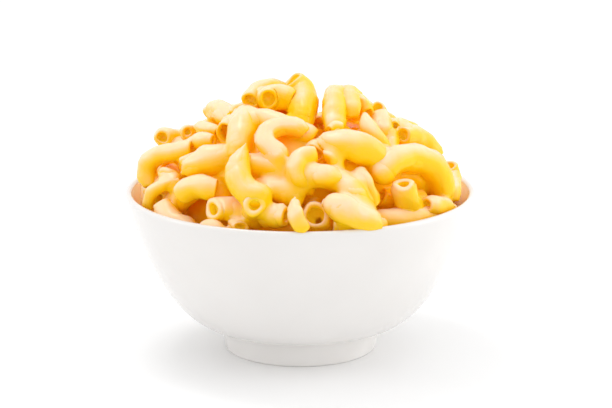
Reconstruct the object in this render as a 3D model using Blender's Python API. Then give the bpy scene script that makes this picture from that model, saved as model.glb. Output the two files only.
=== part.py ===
"""A footed porcelain bowl heaped with elbow macaroni in cheese sauce.

Two solids: the turned bowl, and the heap, which fills the bowl and rises over
its rim as one body with the uneven outline of the macaroni that lie on it.
Metres, +Z up. The origin is the middle of the circle that the foot stands on.
"""

import math
import random

import bmesh
import bpy
from mathutils import Matrix, Vector

MM = 0.001

# The bowl
RIM_RADIUS = 60 * MM
BOWL_HEIGHT = 56 * MM
LIP_RADIUS = 1.2 * MM
FOOT_RADIUS = 26 * MM
FOOT_TOP_RADIUS = 27 * MM
FOOT_HEIGHT = 9 * MM
FOOT_WALL = 4 * MM
FOOT_EDGE = 0.8 * MM
NECK_FILLET = 1.8 * MM
RECESS_DEPTH = 6.2 * MM
RECESS_FILLET = 1.5 * MM
FLOOR_TOP = 11.5 * MM
FLOOR_RADIUS = 17 * MM
FLOOR_REACH = 25 * MM
INNER_BELLY = (54.4 * MM, 40 * MM)
OUTER_SHOULDER = (45 * MM, 9.6 * MM)
OUTER_BELLY = (57 * MM, 41 * MM)
BOWL_SEGMENTS = 60

# The heap
WALL_GAP = 0.3 * MM
FILL_HEIGHT = 50 * MM
HEAP_RADIUS = 57.5 * MM
HEAP_TOP = 96.5 * MM
HEAP_ROUNDNESS = 1.65
HEAP_SEGMENTS = 48
BED_COVER = 4.5 * MM
SKIN_GRAIN = 0.9 * MM
HEAP_THINNING = 0.038

# One macaroni
TUBE_RADIUS = 3.9 * MM
ELBOW_RADIUS = 8.5 * MM
ELBOW_SWEEP = math.radians(165)
ELBOW_BENDS = 8
ELBOW_SIDES = 10
ELBOW_COUNT = 92
ELBOW_SINK = 2.2 * MM
MOST_LEAN = 0.55
SPREAD = 0.8
GOLDEN_ANGLE = math.pi * (3 - math.sqrt(5))
SEED = 12

PORCELAIN = (0.89, 0.88, 0.86, 1)
CHEESE_SAUCE = (0.93, 0.58, 0.14, 1)


def clear_scene():
    for old in list(bpy.data.objects):
        bpy.data.objects.remove(old)


def finish(name, colour, roughness):
    """A material with the part's colour and gloss."""
    material = bpy.data.materials.new(name)
    material.use_nodes = True
    surface = material.node_tree.nodes["Principled BSDF"]
    surface.inputs["Base Color"].default_value = colour
    surface.inputs["Roughness"].default_value = roughness
    surface.inputs["Metallic"].default_value = 0
    return material


def add_object(name, mesh, material):
    body = bpy.data.objects.new(name, mesh)
    bpy.context.scene.collection.objects.link(body)
    mesh.materials.append(material)
    mesh.shade_smooth()
    mesh.set_sharp_from_angle(angle=math.radians(50))
    return body


def bezier(start, leave, arrive, end, steps):
    """Points of a cubic curve, both ends included. All are (radius, height)."""
    points = []
    for step in range(steps + 1):
        t = step / steps
        weights = ((1 - t) ** 3, 3 * (1 - t) ** 2 * t, 3 * (1 - t) * t * t, t**3)
        corners = zip(weights, (start, leave, arrive, end))
        points.append(sum((w * Vector(c) for w, c in corners), Vector((0, 0))))
    return points


def arc(centre, radius, first_deg, last_deg, steps):
    """Points of a circle's arc in the (radius, height) plane."""
    points = []
    for step in range(steps + 1):
        angle = math.radians(first_deg + (last_deg - first_deg) * step / steps)
        points.append(Vector(centre) + radius * Vector((math.cos(angle), math.sin(angle))))
    return points


def inner_wall(steps=8):
    """The bowl's inside, from the middle of its floor up to the lip."""
    floor_end = (FLOOR_RADIUS, FLOOR_TOP)
    floor_bend = (FLOOR_RADIUS + FLOOR_REACH, FLOOR_TOP)
    lip_edge = (RIM_RADIUS - 2 * LIP_RADIUS, BOWL_HEIGHT - LIP_RADIUS)
    wall = bezier(floor_end, floor_bend, INNER_BELLY, lip_edge, steps)
    return [Vector((0, FLOOR_TOP)), *wall]


def outer_wall(steps=11):
    """The bowl's outside, from the neck over the foot up to the lip."""
    neck = (FOOT_TOP_RADIUS + NECK_FILLET, FOOT_HEIGHT)
    lip_edge = (RIM_RADIUS, BOWL_HEIGHT - LIP_RADIUS)
    return bezier(neck, OUTER_SHOULDER, OUTER_BELLY, lip_edge, steps)


def foot_ring():
    """From the middle of the recess underneath, round the foot, to its neck."""
    inside = FOOT_RADIUS - FOOT_WALL
    recess_centre = (inside - 2 * RECESS_FILLET, RECESS_DEPTH - RECESS_FILLET)
    neck_centre = (FOOT_TOP_RADIUS + NECK_FILLET, FOOT_HEIGHT - NECK_FILLET)
    return [
        Vector((0, RECESS_DEPTH)),
        *arc(recess_centre, RECESS_FILLET, 90, 0, 2),
        *arc((inside + FOOT_EDGE, FOOT_EDGE), FOOT_EDGE, 180, 270, 2),
        *arc((FOOT_RADIUS - FOOT_EDGE, FOOT_EDGE), FOOT_EDGE, 270, 360, 2),
        *arc(neck_centre, NECK_FILLET, 180, 90, 3)[:-1],
    ]


def lip():
    """The rounded top edge, from the outer wall over to the inner one."""
    centre = (RIM_RADIUS - LIP_RADIUS, BOWL_HEIGHT - LIP_RADIUS)
    return arc(centre, LIP_RADIUS, 0, 180, 5)[1:-1]


def turned(name, profile, segments):
    """A solid turned round the Z axis from a profile that starts and ends on it."""
    shape = bmesh.new()
    points = [shape.verts.new((p.x, 0, p.y)) for p in profile]
    edges = [shape.edges.new(pair) for pair in zip(points, points[1:])]
    bmesh.ops.spin(
        shape,
        geom=points + edges,
        cent=(0, 0, 0),
        axis=(0, 0, 1),
        angle=2 * math.pi,
        steps=segments,
        use_merge=True,
    )
    bmesh.ops.remove_doubles(shape, verts=shape.verts, dist=0.01 * MM)
    bmesh.ops.recalc_face_normals(shape, faces=shape.faces)
    mesh = bpy.data.meshes.new(name)
    shape.to_mesh(mesh)
    shape.free()
    return mesh


def make_bowl():
    profile = [*foot_ring(), *outer_wall(), *lip(), *reversed(inner_wall())]
    return turned("bowl", profile, BOWL_SEGMENTS)


def heap_outline(steps):
    """The heap's own line above the fill height, from the bowl's wall to the peak."""
    points = []
    for step in range(steps + 1):
        angle = math.pi / 2 * step / steps
        out = math.cos(angle) ** (2 / HEAP_ROUNDNESS)
        up = math.sin(angle) ** (2 / HEAP_ROUNDNESS)
        height = FILL_HEIGHT + (HEAP_TOP - FILL_HEIGHT) * up
        points.append(Vector((HEAP_RADIUS * out, height)))
    return points


def radius_at(profile, height):
    """The radius of a profile of rising points at a height."""
    for low, high in zip(profile, profile[1:]):
        if low.y <= height <= high.y and high.y > low.y:
            share = (height - low.y) / (high.y - low.y)
            return low.x + (high.x - low.x) * share
    return profile[-1].x


def moved_in(profile, distance):
    """A turned profile drawn in by a distance, towards the axis and upwards."""
    points = []
    for index, here in enumerate(profile):
        before = profile[max(index - 1, 0)]
        after = profile[min(index + 1, len(profile) - 1)]
        along = (after - before).normalized()
        points.append(here + distance * Vector((-along.y, along.x)))
    points[0].x = 0
    return points


def bed_solid():
    """What lies under the top layer: the bowl's filling and a lower, smooth dome."""
    below = [p for p in moved_in(inner_wall(), WALL_GAP) if p.y < FILL_HEIGHT]
    edge = radius_at(moved_in(inner_wall(), WALL_GAP), FILL_HEIGHT)
    above = []
    for point in heap_outline(20)[1:]:
        above.append(Vector((max(point.x - BED_COVER, 0), point.y - BED_COVER)))
    above = [p for p in above if p.y > FILL_HEIGHT]
    above[-1].x = 0
    return turned("bed", [*below, Vector((edge, FILL_HEIGHT)), *above], HEAP_SEGMENTS)


def elbow_points(frame):
    """Rings of points round one macaroni's bent centre line, narrowed at both ends."""
    rings = []
    for bend in range(ELBOW_BENDS + 1):
        share = bend / ELBOW_BENDS
        turn = ELBOW_SWEEP * (share - 0.5)
        outward = Vector((math.sin(turn), math.cos(turn), 0))
        middle = outward * ELBOW_RADIUS - Vector((0, ELBOW_RADIUS, 0))
        end = bend in (0, ELBOW_BENDS)
        radius = TUBE_RADIUS * (0.8 if end else 1)
        ring = []
        for side in range(ELBOW_SIDES):
            angle = 2 * math.pi * side / ELBOW_SIDES
            across = outward * math.cos(angle) + Vector((0, 0, 1)) * math.sin(angle)
            ring.append(frame @ (middle + radius * across))
        rings.append(ring)
    return rings


def add_elbow(shape, frame):
    """One macaroni as a bent rod, closed at both ends, added to a mesh."""
    rings = [[shape.verts.new(p) for p in ring] for ring in elbow_points(frame)]
    faces = [shape.faces.new(rings[0]), shape.faces.new(rings[-1])]
    for first, second in zip(rings, rings[1:]):
        for side in range(ELBOW_SIDES):
            after = (side + 1) % ELBOW_SIDES
            corners = (first[side], first[after], second[after], second[side])
            faces.append(shape.faces.new(corners))
    bmesh.ops.recalc_face_normals(shape, faces=faces)


def elbow_frames():
    """The top layer's macaroni, evenly over the dome on a golden-angle spiral."""
    chance = random.Random(SEED)
    outline = heap_outline(60)
    frames = []
    for number in range(ELBOW_COUNT):
        share = (number + 0.5) / ELBOW_COUNT
        step = 1 + round(58 * (1 - share**SPREAD))
        along = (outline[step + 1] - outline[step - 1]).normalized()
        slope = Vector((along.y, 0, -along.x))
        sink = TUBE_RADIUS + ELBOW_SINK * chance.random()
        middle = Vector((outline[step].x, 0, outline[step].y)) - slope * sink
        bearing = Matrix.Rotation(number * GOLDEN_ANGLE, 4, "Z")
        lie = slope.to_track_quat("Z", "Y").to_matrix().to_4x4()
        heading = Matrix.Rotation(chance.uniform(0, 2 * math.pi), 4, "Z")
        lean = Matrix.Rotation(chance.uniform(-MOST_LEAN, MOST_LEAN), 4, "X")
        frames.append(bearing @ Matrix.Translation(middle) @ lie @ heading @ lean)
    return frames


def without_loose_shells(mesh):
    """Keeps the outer skin and drops the small shells closed in under it."""
    shape = bmesh.new()
    shape.from_mesh(mesh)
    unseen = set(shape.verts)
    shells = []
    while unseen:
        waiting = [unseen.pop()]
        shell = list(waiting)
        while waiting:
            here = waiting.pop()
            near = {edge.other_vert(here) for edge in here.link_edges} & unseen
            unseen -= near
            waiting.extend(near)
            shell.extend(near)
        shells.append(shell)
    shells.sort(key=len)
    for shell in shells[:-1]:
        bmesh.ops.delete(shape, geom=shell, context="VERTS")
    shape.to_mesh(mesh)
    shape.free()


def kept_in_bowl(mesh):
    """Draws in every point that would come nearer to the bowl's inside than the gap."""
    wall = moved_in(inner_wall(24), WALL_GAP)
    for vertex in mesh.vertices:
        place = vertex.co
        place.z = max(place.z, FLOOR_TOP + WALL_GAP)
        out = math.hypot(place.x, place.y)
        most = radius_at(wall, place.z)
        if out > most:
            place.x *= most / out
            place.y *= most / out


def make_heap():
    """The bed and the top layer grown into one skin, then thinned to fewer faces."""
    shape = bmesh.new()
    shape.from_mesh(bed_solid())
    for frame in elbow_frames():
        add_elbow(shape, frame)
    loose = bpy.data.meshes.new("heap_pieces")
    shape.to_mesh(loose)
    shape.free()
    pieces = bpy.data.objects.new("heap_pieces", loose)
    bpy.context.scene.collection.objects.link(pieces)
    skin = pieces.modifiers.new("skin", "REMESH")
    skin.mode = "VOXEL"
    skin.voxel_size = SKIN_GRAIN
    soften = pieces.modifiers.new("soften", "SMOOTH")
    soften.factor = 0.5
    soften.iterations = 2
    thin = pieces.modifiers.new("thin", "DECIMATE")
    thin.ratio = HEAP_THINNING
    thin.use_collapse_triangulate = True
    graph = bpy.context.evaluated_depsgraph_get()
    mesh = bpy.data.meshes.new_from_object(pieces.evaluated_get(graph))
    mesh.name = "macaroni_heap"
    bpy.data.objects.remove(pieces)
    without_loose_shells(mesh)
    kept_in_bowl(mesh)
    return mesh


def main():
    clear_scene()
    add_object("bowl", make_bowl(), finish("glazed porcelain", PORCELAIN, 0.15))
    add_object("macaroni_heap", make_heap(), finish("cheese sauce", CHEESE_SAUCE, 0.35))


main()
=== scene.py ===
# %% [markdown]
# # Macaroni and cheese in a footed bowl
# A white porcelain bowl stands on a pale table, heaped with elbow macaroni in a
# smooth cheese sauce. The engineers' model gives the sizes: a turned bowl, and a
# heap that is one solid out to its outline. This lesson keeps those sizes and
# makes what the eye sees: a finely turned bowl, hollow macaroni that lie on and
# under each other, and the sauce that joins them.

# %% Load the fixed model
import math
import random

import bpy
import numpy as np
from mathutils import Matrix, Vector


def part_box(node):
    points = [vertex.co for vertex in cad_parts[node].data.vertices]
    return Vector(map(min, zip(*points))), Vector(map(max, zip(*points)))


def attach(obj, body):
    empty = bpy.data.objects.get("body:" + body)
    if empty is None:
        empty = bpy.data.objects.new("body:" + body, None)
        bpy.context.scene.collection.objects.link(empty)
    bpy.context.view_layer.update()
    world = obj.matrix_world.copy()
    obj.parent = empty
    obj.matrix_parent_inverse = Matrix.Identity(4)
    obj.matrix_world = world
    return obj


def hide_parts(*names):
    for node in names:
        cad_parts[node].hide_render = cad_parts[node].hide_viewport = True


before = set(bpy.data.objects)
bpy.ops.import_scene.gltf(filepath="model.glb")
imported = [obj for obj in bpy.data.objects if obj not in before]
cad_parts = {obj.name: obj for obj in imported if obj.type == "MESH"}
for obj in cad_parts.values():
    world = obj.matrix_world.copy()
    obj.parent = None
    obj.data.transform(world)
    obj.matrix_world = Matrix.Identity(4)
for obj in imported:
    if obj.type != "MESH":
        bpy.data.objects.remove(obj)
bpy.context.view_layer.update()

MM = 0.001
chance = random.Random(20)

bowl_high = np.array(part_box("bowl")[1]) / MM
heap_high = np.array(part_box("macaroni_heap")[1]) / MM
RIM_RADIUS = bowl_high[0]
RIM_HEIGHT = bowl_high[2]
HEAP_TOP = heap_high[2]
print(f"bowl {2 * RIM_RADIUS:.1f} mm across, {RIM_HEIGHT:.1f} mm high")
print(f"heap {HEAP_TOP:.1f} mm high")

# %% [markdown]
# ## From a list of points to a mesh
# Everything below is worked out in millimetres, because food is easy to think of
# in millimetres, and turned into metres at the moment when a mesh is made. Large
# meshes are quick to make when numpy hands Blender all the points at once.


# %% Make an object from points and faces
def make_piece(name, points_mm, faces, material):
    """One object from an array of points in millimetres and a list of faces."""
    mesh = bpy.data.meshes.new(name)
    mesh.from_pydata((points_mm * MM).tolist(), [], faces)
    mesh.update()
    mesh.shade_smooth()
    mesh.materials.append(material)
    piece = bpy.data.objects.new(name, mesh)
    bpy.context.scene.collection.objects.link(piece)
    print(f"{name}: {len(mesh.vertices)} points, {len(mesh.polygons)} faces")
    return piece


def grid_faces(rows, columns):
    """Quads of a grid of points that closes on itself both ways, like the skin of a ring."""
    row = np.arange(rows)[:, None]
    column = np.arange(columns)[None, :]
    next_row = (row + 1) % rows
    next_column = (column + 1) % columns
    corners = (
        row * columns + column,
        row * columns + next_column,
        next_row * columns + next_column,
        next_row * columns + column,
    )
    return np.stack(np.broadcast_arrays(*corners), axis=-1).reshape(-1, 4)


# %% [markdown]
# ## Small helpers for materials
# A finish is a small network of nodes. Naming each step keeps the network easy to
# read: a noise that varies slowly for colour, a finer one for the bump, and a mark
# that the mesh carries to say where each colour goes.


# %% Node helpers
def new_finish(name):
    """An empty material, its Principled surface and its node tree."""
    material = bpy.data.materials.new(name)
    material.use_nodes = True
    tree = material.node_tree
    return material, tree.nodes["Principled BSDF"], tree


def add_noise(tree, size_mm, detail):
    """A noise whose blotches are about size_mm across, laid over the object's own space."""
    place = tree.nodes.new("ShaderNodeTexCoord")
    noise = tree.nodes.new("ShaderNodeTexNoise")
    noise.inputs["Scale"].default_value = 1 / (size_mm * MM)
    noise.inputs["Detail"].default_value = detail
    noise.inputs["Roughness"].default_value = 0.5
    tree.links.new(place.outputs["Object"], noise.inputs["Vector"])
    return noise.outputs["Fac"]


def add_mark(tree, name):
    """The number that the mesh holds under this name for each of its points."""
    mark = tree.nodes.new("ShaderNodeAttribute")
    mark.attribute_name = name
    return mark.outputs["Fac"]


def add_math(tree, operation, *sources):
    """A calculation with plain numbers and with the outputs of other nodes."""
    node = tree.nodes.new("ShaderNodeMath")
    node.operation = operation
    for socket, source in zip(node.inputs, sources):
        if isinstance(source, float):
            socket.default_value = source
        else:
            tree.links.new(source, socket)
    return node.outputs[0]


def add_ramp(tree, source, stops):
    """A colour ramp: stops are (position, colour) pairs."""
    ramp = tree.nodes.new("ShaderNodeValToRGB")
    steps = ramp.color_ramp.elements
    while len(steps) < len(stops):
        steps.new(0.5)
    for step, (position, colour) in zip(steps, stops):
        step.position = position
        step.color = (*colour, 1)
    tree.links.new(source, ramp.inputs["Fac"])
    return ramp.outputs["Color"]


def add_bump(tree, source, height_mm, surface):
    """A bump of about height_mm on the surface."""
    bump = tree.nodes.new("ShaderNodeBump")
    bump.inputs["Distance"].default_value = height_mm * MM
    bump.inputs["Strength"].default_value = 1.0
    tree.links.new(source, bump.inputs["Height"])
    tree.links.new(bump.outputs["Normal"], surface.inputs["Normal"])


# %% [markdown]
# ## The glaze
# White porcelain has a clear glaze over a warm white body. Light goes a little way
# in, so edges stay soft, and the glaze mirrors bright windows. It is never quite
# flat: it pools and thins in slow waves, which a very shallow bump gives. Inside,
# where the mesh says "inside", a second, lighter and warmer white is mixed in:
# painted light, so that the inside does not go grey where the bowl shades it.


# %% Glaze
GLAZE_SHADES = [(0.3, (0.77, 0.75, 0.73)), (0.7, (0.80, 0.78, 0.76))]
# Painted light: the inside of the bowl is painted a lighter, warmer white.
INSIDE_LIGHT_SHADES = [(0.3, (1.0, 0.95, 0.88)), (0.7, (1.0, 0.97, 0.92))]
GLAZE_CLOUD = 30
GLAZE_WAVE = 9
GLAZE_WAVE_HEIGHT = 0.04


def porcelain_finish():
    """A white glaze, painted lighter and warmer where the mesh is marked as the inside."""
    material, surface, tree = new_finish("white glaze")
    cloud = add_noise(tree, GLAZE_CLOUD, 3)
    tint = tree.nodes.new("ShaderNodeMix")
    tint.data_type = "RGBA"
    tree.links.new(add_mark(tree, "inside"), tint.inputs["Factor"])
    tree.links.new(add_ramp(tree, cloud, GLAZE_SHADES), tint.inputs["A"])
    tree.links.new(add_ramp(tree, cloud, INSIDE_LIGHT_SHADES), tint.inputs["B"])
    tree.links.new(tint.outputs["Result"], surface.inputs["Base Color"])
    add_bump(tree, add_noise(tree, GLAZE_WAVE, 2), GLAZE_WAVE_HEIGHT, surface)
    surface.inputs["Roughness"].default_value = 0.22
    surface.inputs["IOR"].default_value = 1.5
    surface.inputs["Coat Weight"].default_value = 0.4
    surface.inputs["Coat Roughness"].default_value = 0.06
    surface.inputs["Subsurface Weight"].default_value = 0.15
    surface.inputs["Subsurface Radius"].default_value = (1.0, 0.9, 0.8)
    surface.inputs["Subsurface Scale"].default_value = 1.5 * MM
    return material


# %% [markdown]
# ## The bowl
# A bowl like this is thrown or pressed on a wheel, so one profile turned round the
# middle makes all of it. The outside leaves the neck of the foot almost level and
# comes up to the lip almost upright. The inside runs beside it, and the lip and
# the foot's edge are small arcs. A fine profile and many turns keep the rim round.

# %% Profile of the bowl
LIP_RADIUS = 1.2
FOOT_RADIUS = 26.0
FOOT_TOP_RADIUS = 27.0
FOOT_HEIGHT = 9.0
FOOT_WALL = 4.0
FOOT_EDGE = 0.8
NECK_FILLET = 1.8
RECESS_DEPTH = 6.2
RECESS_FILLET = 1.5
FLAT_RINGS = (8, 15)
FLOOR_TOP = 11.5
FLOOR_RADIUS = 17.0
FLOOR_REACH = 25.0
INNER_BELLY = (RIM_RADIUS - 5.6, RIM_HEIGHT - 16.0)
OUTER_SHOULDER = (RIM_RADIUS - 15.0, FOOT_HEIGHT + 0.6)
OUTER_BELLY = (RIM_RADIUS - 3.0, RIM_HEIGHT - 15.0)
WALL_STEPS = 48
LIP_STEPS = 14


def bezier(corners, steps):
    """Points of a cubic curve through its first and last corner."""
    t = np.linspace(0, 1, steps + 1)[:, None]
    weights = ((1 - t) ** 3, 3 * (1 - t) ** 2 * t, 3 * (1 - t) * t**2, t**3)
    return sum(weight * np.array(corner) for weight, corner in zip(weights, corners))


def arc(centre, radius, first_deg, last_deg, steps=8):
    """Points of a circle's arc."""
    angle = np.radians(np.linspace(first_deg, last_deg, steps + 1))
    return np.array(centre) + radius * np.stack([np.cos(angle), np.sin(angle)], axis=1)


def inner_wall():
    """The bowl's inside as (radius, height), from its floor's edge up to the lip."""
    floor_end = (FLOOR_RADIUS, FLOOR_TOP)
    floor_bend = (FLOOR_RADIUS + FLOOR_REACH, FLOOR_TOP)
    lip_edge = (RIM_RADIUS - 2 * LIP_RADIUS, RIM_HEIGHT - LIP_RADIUS)
    return bezier((floor_end, floor_bend, INNER_BELLY, lip_edge), WALL_STEPS)


def bowl_profile():
    """The whole section, from the middle underneath, round the outside, to the middle inside."""
    inside = FOOT_RADIUS - FOOT_WALL
    neck = (FOOT_TOP_RADIUS + NECK_FILLET, FOOT_HEIGHT)
    lip_edge = (RIM_RADIUS, RIM_HEIGHT - LIP_RADIUS)
    stretches = [
        [(radius, RECESS_DEPTH) for radius in (0, *FLAT_RINGS)],
        arc((inside - 2 * RECESS_FILLET, RECESS_DEPTH - RECESS_FILLET), RECESS_FILLET, 90, 0),
        arc((inside + FOOT_EDGE, FOOT_EDGE), FOOT_EDGE, 180, 270),
        arc((FOOT_RADIUS - FOOT_EDGE, FOOT_EDGE), FOOT_EDGE, 270, 360),
        arc((neck[0], FOOT_HEIGHT - NECK_FILLET), NECK_FILLET, 180, 90)[:-1],
        bezier((neck, OUTER_SHOULDER, OUTER_BELLY, lip_edge), WALL_STEPS),
        arc((RIM_RADIUS - LIP_RADIUS, lip_edge[1]), LIP_RADIUS, 0, 180, LIP_STEPS)[1:-1],
        inner_wall()[::-1],
        [(FLAT_RINGS[0], FLOOR_TOP), (0, FLOOR_TOP)],
    ]
    return np.concatenate([np.array(stretch, float) for stretch in stretches])


# %% [markdown]
# Turning the profile makes a ring of points for each point of the section. The two
# points on the axis stand alone, and a fan of triangles joins each to its ring. The
# rings of the inside are marked on the mesh, so that the glaze knows them.

# %% Turn the profile
BOWL_TURNS = 240


def turned_piece(name, profile, turns, material):
    """A closed solid turned round the upright axis from a profile that starts and ends on it."""
    ring = profile[1:-1]
    bearing = 2 * math.pi * np.arange(turns) / turns
    around = np.stack([np.cos(bearing), np.sin(bearing)], axis=1)
    rows = np.empty((len(ring), turns, 3))
    rows[..., :2] = ring[:, None, :1] * around[None]
    rows[..., 2] = ring[:, None, 1]
    middles = [[0, 0, profile[0][1]], [0, 0, profile[-1][1]]]
    points = np.concatenate([rows.reshape(-1, 3), middles])
    quads = grid_faces(len(ring), turns)[: (len(ring) - 1) * turns]
    bottom, top = len(points) - 2, len(points) - 1
    last = (len(ring) - 1) * turns
    step = np.arange(turns)
    after = (step + 1) % turns
    low_fan = np.stack([np.full(turns, bottom), after, step], axis=1)
    high_fan = np.stack([np.full(turns, top), last + step, last + after], axis=1)
    faces = quads.tolist() + low_fan.tolist() + high_fan.tolist()
    return make_piece(name, points, faces, material)


bowl = turned_piece("porcelain_bowl", bowl_profile(), BOWL_TURNS, porcelain_finish())
inside_rings = len(inner_wall()) + 1
inside_mark = np.zeros(len(bowl.data.vertices), np.float32)
inside_mark[-2 - inside_rings * BOWL_TURNS : -2] = 1
bowl.data.attributes.new("inside", "FLOAT", "POINT").data.foreach_set("value", inside_mark)
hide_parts("bowl")
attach(bowl, "root")

# %% [markdown]
# ## The outline of the heap
# Food heaped in a bowl makes a dome whose outline lies between a cone's and a half
# ball's. A superellipse turned round the middle draws it, with one number for its
# roundness: 1 would be a cone, and 2 a half ball or half egg. A point is inside
# where the number that beyond_dome gives is below zero.

# %% Dome
FILL_HEIGHT = 50.0
RIM_GAP = 2.5
CROWN_PROUD = 1.8
DOME_RADIUS = RIM_RADIUS - RIM_GAP
DOME_RISE = HEAP_TOP - CROWN_PROUD - FILL_HEIGHT
ROUNDNESS = 1.65


def beyond_dome(points, inset=0.0):
    """Below zero inside the dome, above zero outside. inset draws the dome in."""
    out = np.hypot(points[..., 0], points[..., 1]) / (DOME_RADIUS - inset)
    up = np.clip(points[..., 2] - FILL_HEIGHT, 0, None) / (DOME_RISE - inset)
    return out**ROUNDNESS + up**ROUNDNESS - 1


def dome_slope(points):
    """The direction straight out of the dome at each point."""
    away = np.hypot(points[..., 0], points[..., 1]) + 1e-6
    out = (away / DOME_RADIUS) ** (ROUNDNESS - 1) / DOME_RADIUS
    up = np.clip(points[..., 2] - FILL_HEIGHT, 0, None)
    rise = (up / DOME_RISE) ** (ROUNDNESS - 1) / DOME_RISE
    slope = np.stack([out * points[..., 0] / away, out * points[..., 1] / away, rise], axis=-1)
    return slope / np.linalg.norm(slope, axis=-1, keepdims=True)


# %% [markdown]
# ## Laying macaroni one by one
# A cook's heap looks natural because no two pieces lie alike. The pieces that the
# eye goes to are laid one by one, each by three to five spots along the line down
# the middle of its tube. A spot is given as seen from the seat at the table:
# across from the middle, up from the rim, and how far it is to the near side of
# the middle. A smooth curve through the spots is the middle line of the tube.

# %% Seat at the table
LOOK_DOWN = math.radians(14)
SEAT_DISTANCE = 900
AIM = np.array([1.9, 0.0, 50.4])
ACROSS = np.array([1.0, 0.0, 0.0])
UPWARD = np.array([0.0, math.sin(LOOK_DOWN), math.cos(LOOK_DOWN)])
FORWARD = np.array([0.0, -math.cos(LOOK_DOWN), math.sin(LOOK_DOWN)])
EYE = AIM + SEAT_DISTANCE * FORWARD
RIM_MIDDLE = np.array([0.0, 0.0, RIM_HEIGHT])


def toward_eye(points):
    """The direction from each point to the eye."""
    sight = EYE - points
    return sight / np.linalg.norm(sight, axis=-1, keepdims=True)


def seat_point(across, up, near):
    """The place that looks to be so far across and up, and is so far to the near side of the middle."""
    spot = RIM_MIDDLE + across * ACROSS + up * UPWARD
    sight = toward_eye(spot)
    return spot + sight * near / (sight @ FORWARD)


def as_seen(points):
    """Across, up and nearness of points, as they look from the seat."""
    near = (points - RIM_MIDDLE) @ FORWARD
    distance = (EYE - RIM_MIDDLE) @ FORWARD
    flat = points - (EYE - points) * (near / (distance - near))[..., None] - RIM_MIDDLE
    return flat @ ACROSS, flat @ UPWARD, near


FINER = 8


def length_of(lines):
    """The length of one line, or of each line of an array."""
    return np.linalg.norm(np.diff(lines, axis=-2), axis=-1).sum(axis=-1)


def line_through(spots, steps):
    """A smooth line through a few spots, as points an equal way apart."""
    apart = np.linalg.norm(np.diff(spots, axis=0), axis=1)
    share = np.concatenate([[0], np.cumsum(apart)]) / apart.sum()
    curve = np.polynomial.polynomial.polyfit(share, spots, len(spots) - 1)
    fine = np.polynomial.polynomial.polyval(np.linspace(0, 1, FINER * steps), curve).T
    walked = np.concatenate([[0], np.cumsum(np.linalg.norm(np.diff(fine, axis=0), axis=1))])
    even = np.linspace(0, walked[-1], steps)
    return np.stack([np.interp(even, walked, fine[:, axis]) for axis in range(3)], axis=1)
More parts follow.
